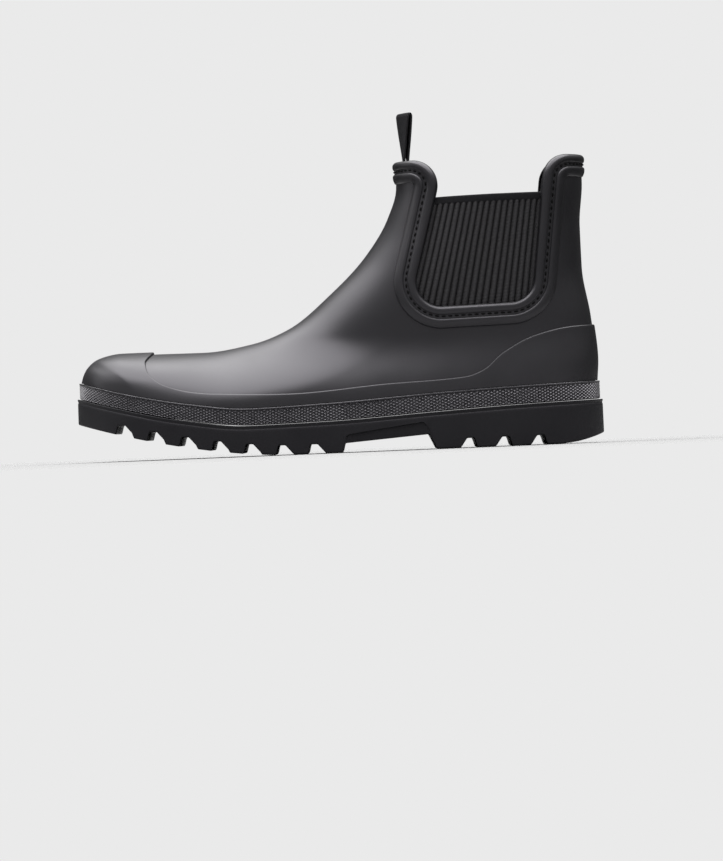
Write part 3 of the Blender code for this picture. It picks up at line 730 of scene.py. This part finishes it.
def gusset_surface(side, shares, heights):
    """Places on the boot's form behind a gusset, across the panel and up it."""
    z, s = np.meshgrid(heights, shares, indexing="ij")
    edge_x, edge_z = OPENING_EDGE["x"], OPENING_EDGE["z"]
    front_x = np.interp(z, (edge_z[2], edge_z[1]), (edge_x[2], edge_x[1])) - GUSSET_SEWN_MARGIN
    back_x = np.interp(z, (edge_z[3], edge_z[4]), (edge_x[3], edge_x[4])) + GUSSET_SEWN_MARGIN
    surface = side_point(front_x + (back_x - front_x) * s, z, side)
    return surface, sheet_normals(surface, side)


def build_gusset(side, elastic):
    """Ribbed elastic panel sewn behind the opening's edge."""
    shares = np.linspace(0, 1, RIB_COUNT * RIB_SAMPLES + 1)
    heights = np.linspace(GUSSET_BOTTOM, GUSSET_TOP - UNDER_BINDING, GUSSET_ROWS)
    surface, normals = gusset_surface(side, shares, heights)
    rib = np.abs(np.sin(np.pi * shares * RIB_COUNT)) ** RIB_POWER
    sunk = UPPER_WALL + GUSSET_CLEAR + RIB_DEPTH * (1 - rib)
    outside = surface - normals * sunk[None, :, None]
    back = 2 * (UPPER_WALL + SEAT_GAP) + GUSSET_THICKNESS - sunk
    inside = surface - normals * back[None, :, None]
    loop = np.concatenate([outside, inside[::-1]])
    section, stations = loop.shape[:2]
    z, s = np.meshgrid(np.concatenate([heights, heights[::-1]]), shares, indexing="ij")
    weave = np.stack([s * RIB_COUNT, z, 0 * z], axis=-1)
    points, weave = (np.swapaxes(v, 0, 1).reshape(-1, 3) for v in (loop, weave))
    faces = tube_faces(stations, section, False)
    make_piece("ribbed_gusset_" + side, points, faces, [elastic], "gusset_" + side, weave=weave)


def build_binding(side, webbing):
    """Folded tape along a gusset's upper edge."""
    shares = np.linspace(0, 1, BINDING_COLUMNS)
    thickness = GUSSET_THICKNESS + BINDING_SPARE
    out, up = rounded_box(thickness, BINDING_WIDTH, BINDING_POWER, BINDING_SECTION)
    surface = gusset_surface(side, shares, GUSSET_TOP - BINDING_WIDTH / 2 + BINDING_ABOVE + up)[0]
    normals = gusset_surface(side, shares, GUSSET_TOP + BINDING_ROWS)[1][1]
    depth = UPPER_WALL + GUSSET_CLEAR / 2 + thickness / 2
    loop = surface - normals * (depth - out)[:, None, None]
    points = np.swapaxes(loop, 0, 1).reshape(-1, 3)
    faces = tube_faces(BINDING_COLUMNS, BINDING_SECTION, False)
    make_piece("gusset_binding_" + side, points, faces, [webbing])


TRIM_STEP = 1.3
TRIM_END_STEPS = 26
TRIM_END_FADE = 15.0
TRIM_NORMAL_ROWS = 9
INNER_BEAD_STEPS = 13
OUTER_BEAD_STEPS = 26
GROOVE_FLOOR = 0.78
# Height of the trim across it: round inner bead, sewn groove, outer bead that falls away slowly
INNER_BEAD = {"middle": 2.0, "half": 2.0, "foot": GROOVE_FLOOR, "top": 1.85}
OUTER_BEAD = {
    "across": (6.25, 6.4, 6.8, 7.5, 8.5, 9.6, 10.6, 11.4, 11.9),
    "height": (GROOVE_FLOOR, 1.2, 1.55, 1.8, 1.75, 1.5, 1.12, 0.68, 0.03),
}
TRIM_SPAN = (-1.5, OUTER_BEAD["across"][-1])
# Stitches in the groove: a thread that is thinner at its ends, which sink into the groove's floor
STITCH_LINE = 4.85
STITCH_HALF_WIDTH = 0.4
STITCH_PITCH = 3.7
STITCH_LENGTH = 2.7
STITCH_RADIUS = 0.5
STITCH_END_SHARE = 0.35
STITCH_SINK = 0.25
STITCH_ARCH = 0.42
STITCH_STEPS = 9
STITCH_SIDES = 8
GROOVE_ACROSS = (5.8, STITCH_LINE, 4.4)
# The part of the trim's section that rolls over the upper's edge and comes back under the trim
TRIM_ROLL = {
    "across": (-0.3, -0.55, -0.7, -0.72, -0.6, -0.3, 0.0, -0.12, -0.14, 0.3, 4.0, 9.0),
    "height": (0.75, 0.3, -0.4, -1.5, -2.15, -2.5, -2.6, -2.3, -0.1, 0.04, 0.04, 0.04),
}


def trim_height(across):
    """Height of the trim over the upper: two beads with a groove between them."""
    middle_line, half, foot, top = INNER_BEAD.values()
    inner = foot + (top - foot) * np.sqrt(np.clip(1 - ((across - middle_line) / half) ** 2, 0, 1))
    outer = smooth_table(OUTER_BEAD["across"], OUTER_BEAD["height"], across)
    return np.where(across < OUTER_BEAD["across"][0], inner, outer)


def trim_section():
    """Closed section of the trim as places across it and heights."""
    turn = np.linspace(0, np.pi, INNER_BEAD_STEPS)
    inner = INNER_BEAD["middle"] + INNER_BEAD["half"] * np.cos(turn)
    outer_line = np.column_stack(list(OUTER_BEAD.values()))
    outer = resample(outer_line, np.linspace(1, 0, OUTER_BEAD_STEPS))[:, 0]
    face = np.concatenate([outer, GROOVE_ACROSS, inner[:-1]])
    across = np.concatenate([face, TRIM_ROLL["across"]])
    return across, np.concatenate([trim_height(face), TRIM_ROLL["height"]])


def trim_path():
    """Places along the opening's edge and the side-view directions across the trim, front to back."""
    edge = rounded_edge()
    parts = []
    for a, b in zip(edge[:-1], edge[1:]):
        count = max(1, int(np.ceil(np.linalg.norm(b - a) / TRIM_STEP)))
        shares = np.arange(count) / count
        end_shares = np.arange(TRIM_END_STEPS) / TRIM_END_STEPS
        if a[0] == edge[0, 0]:
            shares = end_shares**2
        elif b[0] == edge[-1, 0]:
            shares = 1 - (1 - end_shares) ** 2
        parts.append(a + (b - a) * shares[:, None])
    path = np.vstack(parts + [edge[-1:]])
    ahead = unit(np.gradient(path, axis=0))
    across = np.column_stack([ahead[:, 1], -ahead[:, 0]])
    across[np.abs(path[:, 1] - COLLAR_HEIGHT) < NEAR] = (0.0, -1.0)
    return path, across


def trim_places(reach):
    """Side-view places of the trim: rows at distances across it, drawn to the silhouettes at both ends."""
    path, across = trim_path()
    places = path[None] + across[None] * np.asarray(reach)[:, None, None]
    on_collar = path[:, 1] > COLLAR_HEIGHT - NEAR
    for line, top_x, sign in ((FRONT, path[0, 0], 1), (BACK, path[-1, 0], -1)):
        fade = np.clip(1 - sign * (path[:, 0] - top_x) / TRIM_END_FADE, 0, 1) * on_collar
        places[..., 0] += (x_on(line, places[..., 1]) - top_x) * fade[None]
    return places[:, ::-1]


def build_trim(rubber, thread):
    """Double bead with a sewn groove that rolls over the edge of the collar and of both gussets."""
    across, height = trim_section()
    surface = ring_surface(trim_places(across))
    rows = np.linspace(*TRIM_SPAN, TRIM_NORMAL_ROWS)
    coarse = ring_normals(ring_surface(trim_places(rows))[::-1])[::-1]
    normals = [read_rows(across, rows, coarse[:, c]) for c in range(coarse.shape[1])]
    normals = unit(np.stack(normals, axis=1))
    loop = surface + normals * height[:, None, None]
    ring_piece("beaded_trim", loop, [rubber], "collar_trim")
    build_stitches(normals[np.argmin(np.abs(across - STITCH_LINE))], thread)


def build_stitches(up, thread):
    """The seam in the trim's groove, each stitch a short thread that dips at both ends."""
    sides = ring_surface(trim_places([STITCH_LINE - STITCH_HALF_WIDTH, STITCH_LINE + STITCH_HALF_WIDTH]))
    centre = sides.mean(axis=0)
    closed, closed_up = np.vstack([centre, centre[:1]]), np.vstack([up, up[:1]])
    along = line_lengths(closed)
    count = int(along[-1] / STITCH_PITCH)
    shares = np.linspace(0, 1, STITCH_STEPS)
    arch = np.sin(np.pi * shares)
    width = STITCH_RADIUS * (STITCH_END_SHARE + (1 - STITCH_END_SHARE) * arch**0.5)
    lift = GROOVE_FLOOR - STITCH_SINK + STITCH_ARCH * arch
    angles = np.linspace(0, 2 * np.pi, STITCH_SIDES, endpoint=False)
    c, s = np.cos(angles)[None, :, None], np.sin(angles)[None, :, None]
    stitch_faces = tube_faces(STITCH_STEPS, STITCH_SIDES, False)
    points, faces = [], []
    for i in range(count):
        at = along[-1] * i / count + STITCH_LENGTH * shares
        middle_line = read_rows(at, along, closed)
        rise = unit(read_rows(at, along, closed_up))
        sideways = unit(np.cross(np.gradient(middle_line, axis=0), rise))
        lifted = middle_line + rise * lift[:, None]
        around = c * sideways[:, None] + s * rise[:, None]
        start = len(points) * STITCH_STEPS * STITCH_SIDES
        points.append((lifted[:, None] + width[:, None, None] * around).reshape(-1, 3))
        faces += [[start + k for k in face] for face in stitch_faces]
    make_piece("trim_stitches", np.vstack(points), faces, [thread])


LOOP_STEPS = 220
LOOP_SECTION = 40
LOOP_POWER = 0.35


def build_pull_loop(webbing):
    """Woven tape loop sewn inside the front of the collar, a little twisted above it."""
    path = smooth_line(LOOP_PATH, LOOP_STEPS)
    ahead = unit(np.gradient(path, axis=0))
    outward = np.column_stack([-ahead[:, 1], ahead[:, 0]])
    rise = np.clip((path[:, 1] - COLLAR_HEIGHT) / (max(LOOP_PATH["z"]) - COLLAR_HEIGHT), 0, 1)
    axis_x = np.mean(LOOP_PATH["x"])
    wide, thick = rounded_box(LOOP_WIDTH, LOOP_THICKNESS, LOOP_POWER, LOOP_SECTION)
    flat_x = path[:, :1] + outward[:, :1] * thick
    flat_z = path[:, 1:] + outward[:, 1:] * thick
    turn = (LOOP_TWIST * rise)[:, None]
    x = axis_x + (flat_x - axis_x) * np.cos(turn) - wide * np.sin(turn)
    y = (flat_x - axis_x) * np.sin(turn) + wide * np.cos(turn)
    points = np.stack([x, y, flat_z], axis=-1).reshape(-1, 3)
    along = line_lengths(path)[:, None]
    weave = np.stack([wide + 0 * flat_x, along + 0 * flat_x, 0 * flat_x], axis=-1).reshape(-1, 3)
    faces = tube_faces(LOOP_STEPS, LOOP_SECTION, False)
    make_piece("woven_pull_loop", points, faces, [webbing], "pull_loop", weave=weave)


# The slightly violet shine of all the boot's black materials
GLOSS_TINT = (0.965, 0.93, 1.0, 1.0)


def set_sockets(node, values):
    for key, value in values.items():
        node.inputs[key].default_value = value


class NodeTree:
    """Short ways to add nodes to a tree."""

    def __init__(self, tree):
        self.tree = tree

    def node(self, kind, sockets=None, **settings):
        """A new node with its settings and the values of its sockets."""
        made = self.tree.nodes.new(kind)
        for key, value in settings.items():
            setattr(made, key, value)
        set_sockets(made, sockets or {})
        return made

    def link(self, source, target):
        self.tree.links.new(source, target)

    def spread(self, value, low, high, from_low=0.3, from_high=0.7, **settings):
        """A value carried from one range to another."""
        sockets = {"From Min": from_low, "From Max": from_high, "To Min": low, "To Max": high}
        made = self.node("ShaderNodeMapRange", sockets, **settings)
        self.link(value, made.inputs["Value"])
        return made.outputs["Result"]

    def math(self, operation, first, second=None):
        made = self.node("ShaderNodeMath", operation=operation)
        for socket, value in zip(made.inputs, (first, second)):
            if isinstance(value, (int, float)):
                socket.default_value = value
            elif value is not None:
                self.link(value, socket)
        return made.outputs[0]


class Shader(NodeTree):
    """A material with a Principled BSDF and short ways to add textures to it."""

    def __init__(self, name, colour, roughness, specular=0.5, sheen=0.0):
        self.material = bpy.data.materials.new(name)
        self.material.use_nodes = True
        super().__init__(self.material.node_tree)
        self.bsdf = self.tree.nodes["Principled BSDF"]
        set_sockets(self.bsdf, {"Base Color": (*colour, 1.0), "Roughness": roughness})
        set_sockets(self.bsdf, {"Specular IOR Level": specular, "Specular Tint": GLOSS_TINT})
        set_sockets(self.bsdf, {"Sheen Weight": sheen})
        self.last_bump = None

    def place(self):
        return self.node("ShaderNodeTexCoord").outputs["Object"]

    def noise(self, scale, detail=3.0):
        made = self.node("ShaderNodeTexNoise", {"Scale": scale, "Detail": detail})
        self.link(self.place(), made.inputs["Vector"])
        return made.outputs["Fac"]

    def wave(self, value, pitch):
        """Sine of a value that repeats each pitch."""
        return self.math("SINE", self.math("MULTIPLY", value, 2 * math.pi / pitch))

    def weave_axes(self):
        """The piece's own places across and along its weave: ribs or millimetres, and millimetres."""
        weave = self.node("ShaderNodeAttribute", attribute_name="weave")
        made = self.node("ShaderNodeSeparateXYZ")
        self.link(weave.outputs["Vector"], made.inputs[0])
        return made.outputs[0], made.outputs[1]

    def bump(self, height, strength, distance):
        made = self.node("ShaderNodeBump", {"Strength": strength, "Distance": distance})
        self.link(height, made.inputs["Height"])
        if self.last_bump:
            self.link(self.last_bump, made.inputs["Normal"])
        self.last_bump = made.outputs["Normal"]
        self.link(self.last_bump, self.bsdf.inputs["Normal"])

    def grain(self, scale, strength, distance=0.0002, detail=3.0):
        self.bump(self.noise(scale, detail), strength, distance)

    def rough(self, scale, low, high):
        """Roughness that changes slowly between two values."""
        self.link(self.spread(self.noise(scale), low, high), self.bsdf.inputs["Roughness"])

    def tint(self, value, dark, light):
        """Colour between two shades by a value from 0 to 1."""
        made = self.node("ShaderNodeValToRGB")
        made.color_ramp.elements[0].color = (*dark, 1.0)
        made.color_ramp.elements[1].color = (*light, 1.0)
        self.link(value, made.inputs["Fac"])
        self.link(made.outputs["Color"], self.bsdf.inputs["Base Color"])


def upper_rubber():
    """Satin moulded rubber with a very fine grain and slow changes of gloss."""
    shader = Shader("satin_rubber", (0.011, 0.011, 0.012), 0.42)
    shader.tint(shader.noise(25.0), (0.006, 0.006, 0.007), (0.010, 0.010, 0.011))
    shader.rough(38.0, 0.34, 0.40)
    shader.grain(55.0, 0.05, 0.001, 1.0)
    shader.grain(2600.0, 0.06)
    return shader.material


def sole_rubber():
    """Matte moulded rubber with a coarser grain."""
    shader = Shader("matte_rubber", (0.005, 0.005, 0.006), 0.5, 0.25)
    shader.tint(shader.noise(30.0), (0.003, 0.003, 0.004), (0.007, 0.007, 0.008))
    shader.rough(60.0, 0.48, 0.6)
    shader.grain(1700.0, 0.1)
    return shader.material


def knurled_rubber():
    """The foxing band's rubber, a little glossier on its points."""
    shader = Shader("knurled_rubber", (0.004, 0.004, 0.005), 0.3, 0.95)
    shader.rough(90.0, 0.25, 0.35)
    shader.grain(1700.0, 0.06)
    return shader.material


def elastic_cloth():
    """Woven elastic: fine cross threads over the modelled ribs, with painted shade darkening the grooves
    between the ribs.
    """
    shader = Shader("ribbed_elastic", (0.020, 0.020, 0.021), 0.85, 0.2)
    across, along = shader.weave_axes()
    slant = shader.math("ADD", along, shader.math("MULTIPLY", across, 0.4))
    # Painted shade: the colour is darkest in the grooves between the ribs and lightest on their tops; the
    # noise adds the fibres' own random tone.
    rib = shader.math("ABSOLUTE", shader.math("SINE", shader.math("MULTIPLY", across, math.pi)))
    fibre_and_groove_shade = shader.math("MULTIPLY", rib, shader.spread(shader.noise(900.0), 0.7, 1.0))
    shader.tint(fibre_and_groove_shade, (0.003, 0.003, 0.003), (0.040, 0.039, 0.041))
    shader.bump(shader.wave(slant, 0.8), 0.5, 0.0002)
    shader.grain(2200.0, 0.3)
    return shader.material


def woven_tape():
    """Twill tape."""
    shader = Shader("woven_tape", (0.008, 0.008, 0.009), 0.85, 0.15)
    across, along = shader.weave_axes()
    first = shader.wave(shader.math("ADD", along, across), 1.2)
    second = shader.wave(shader.math("SUBTRACT", along, across), 0.7)
    shader.tint(shader.noise(1100.0), (0.004, 0.004, 0.005), (0.014, 0.014, 0.015))
    shader.bump(shader.math("MULTIPLY", first, second), 0.5, 0.0003)
    shader.grain(2500.0, 0.3)
    return shader.material


def lining_cloth():
    """Knitted lining and insole cover."""
    shader = Shader("knit_lining", (0.016, 0.016, 0.017), 0.95, 0.2, 0.2)
    shader.tint(shader.noise(700.0), (0.010, 0.010, 0.011), (0.026, 0.026, 0.027))
    shader.grain(1300.0, 0.5, 0.0004, 2.0)
    return shader.material


def sewing_thread():
    shader = Shader("sewing_thread", (0.003, 0.003, 0.003), 0.8, 0.1)
    shader.tint(shader.noise(1500.0), (0.001, 0.001, 0.001), (0.005, 0.005, 0.005))
    shader.grain(3000.0, 0.4)
    return shader.material


# Level camera: the frame's height in pixels, its scale, and in millimetres the camera's distance and aim
FRAME_HEIGHT = 861
MM_PER_PIXEL = 0.571
CAMERA_DISTANCE = 3000.0
CAMERA_ROLL = -2.34
LOOK_AT = (11.7, 0.0, 12.0)
SENSOR = 36.0
BACKGROUND = 0.823
# Floor: metres between which it fades out, its size over the last of them, its height under the sole
FLOOR_FADE = (0.25, 0.55)
FLOOR_SPARE = 1.05
FLOOR_Z = -0.0002
FLOOR_STEPS = 96
FLOOR_GREY = 0.243
# The studio's light. The panel hangs overhead, between planes tilted by the angles of its front and back
# edges and inside a ring round the way its sides face. Each edge has the span over which it fades.
# The sky is the dim light from the rest of the studio.
PANEL_FRONT = 52.0
PANEL_FRONT_EDGE = (-0.2, 0.2)
PANEL_BACK = 137.0
PANEL_BACK_EDGE = (-0.4, 0.4)
PANEL_SIDE_FACING = (-0.05, 0.0, 1.0)
PANEL_SIDE_EDGE = (0.58, 0.8)
PANEL_LIGHT = 7.2
SKY_FACING = (0.0, -0.37, 0.93)
SKY_EDGE = (-0.1, 0.3)
SKY_LIGHT = (0.08, 0.6)


def build_camera():
    data = bpy.data.cameras.new("photo_camera")
    data.sensor_width = SENSOR
    data.lens = SENSOR * CAMERA_DISTANCE / (FRAME_HEIGHT * MM_PER_PIXEL)
    camera = add_object("photo_camera", data)
    back = Vector((0.0, -1.0, 0.0))
    camera.location = (Vector(LOOK_AT) + back * CAMERA_DISTANCE) * MM
    facing = (-back).to_track_quat("-Z", "Y").to_matrix().to_4x4()
    turned = facing @ Matrix.Rotation(math.radians(CAMERA_ROLL), 4, "Z")
    camera.rotation_euler = turned.to_euler()
    bpy.context.scene.camera = camera


def build_floor():
    """Pale floor round the boot that fades into the background."""
    mesh = bpy.data.meshes.new("floor")
    work = bmesh.new()
    bmesh.ops.create_circle(work, cap_ends=True, radius=FLOOR_FADE[1] * FLOOR_SPARE, segments=FLOOR_STEPS)
    work.to_mesh(mesh)
    work.free()
    floor = add_object("floor", mesh)
    floor.location.z = FLOOR_Z
    shader = Shader("pale_floor", (FLOOR_GREY, FLOOR_GREY, FLOOR_GREY), 0.9, 0.0)
    length = shader.node("ShaderNodeVectorMath", operation="LENGTH")
    shader.link(shader.place(), length.inputs[0])
    fade = shader.spread(length.outputs["Value"], 1.0, 0.0, *FLOOR_FADE)
    shader.link(fade, shader.bsdf.inputs["Alpha"])
    mesh.materials.append(shader.material)


def build_world():
    """Even pale background for the camera; for the boot, an overhead panel of light and a dim studio."""
    world = bpy.data.worlds.new("studio")
    world.use_nodes = True
    bpy.context.scene.world = world
    world.node_tree.nodes.clear()
    nodes = NodeTree(world.node_tree)
    place = nodes.node("ShaderNodeTexCoord")

    def facing(direction, edge, light):
        """Light that fades in with how far a direction faces another."""
        dot = nodes.node("ShaderNodeVectorMath", {1: direction}, operation="DOT_PRODUCT")
        nodes.link(place.outputs["Generated"], dot.inputs[0])
        return nodes.spread(dot.outputs["Value"], *light, *edge, interpolation_type="SMOOTHSTEP")

    near, far = math.radians(PANEL_FRONT), math.radians(PANEL_BACK)
    front = facing((0.0, math.sin(near), math.cos(near)), PANEL_FRONT_EDGE, (0.0, PANEL_LIGHT))
    back = facing((0.0, -math.sin(far), -math.cos(far)), PANEL_BACK_EDGE, (0.0, 1.0))
    sides = facing(PANEL_SIDE_FACING, PANEL_SIDE_EDGE, (0.0, 1.0))
    panel = nodes.math("MULTIPLY", nodes.math("MULTIPLY", front, back), sides)
    sky = facing(SKY_FACING, SKY_EDGE, SKY_LIGHT)
    light = nodes.node("ShaderNodeBackground")
    nodes.link(nodes.math("ADD", panel, sky), light.inputs["Strength"])
    seen = nodes.node("ShaderNodeBackground", {"Color": (BACKGROUND, BACKGROUND, BACKGROUND, 1.0)})
    mix = nodes.node("ShaderNodeMixShader")
    nodes.link(nodes.node("ShaderNodeLightPath").outputs["Is Camera Ray"], mix.inputs["Fac"])
    nodes.link(light.outputs[0], mix.inputs[1])
    nodes.link(seen.outputs[0], mix.inputs[2])
    nodes.link(mix.outputs[0], nodes.node("ShaderNodeOutputWorld").inputs["Surface"])


# Softbox at the toe's side, in metres and watts
SOFTBOX_PLACE = Vector((-1.5, 0.25, 0.5))
SOFTBOX_AIM = Vector((0.0, 0.0, 0.1))
SOFTBOX_SIZE = (0.5, 0.9)
SOFTBOX_POWER = 1.5


def build_softbox():
    data = bpy.data.lights.new("softbox_left", "AREA")
    data.shape = "RECTANGLE"
    data.size, data.size_y = SOFTBOX_SIZE
    data.energy = SOFTBOX_POWER
    light = add_object("softbox_left", data)
    light.location = SOFTBOX_PLACE
    light.rotation_euler = (SOFTBOX_AIM - SOFTBOX_PLACE).to_track_quat("-Z", "Y").to_euler()


rubber, matte, knurled = upper_rubber(), sole_rubber(), knurled_rubber()
elastic, tape, lining, thread = elastic_cloth(), woven_tape(), lining_cloth(), sewing_thread()
build_upper(rubber, lining)
build_rand(rubber)
build_band(knurled)
build_outsole(matte)
build_insole(lining)
for gusset_side in SIDE_SIGN:
    build_gusset(gusset_side, elastic)
    build_binding(gusset_side, tape)
build_trim(rubber, thread)
build_pull_loop(tape)
build_floor()
build_world()
build_softbox()
build_camera()
bpy.context.scene.view_settings.view_transform = "Standard"
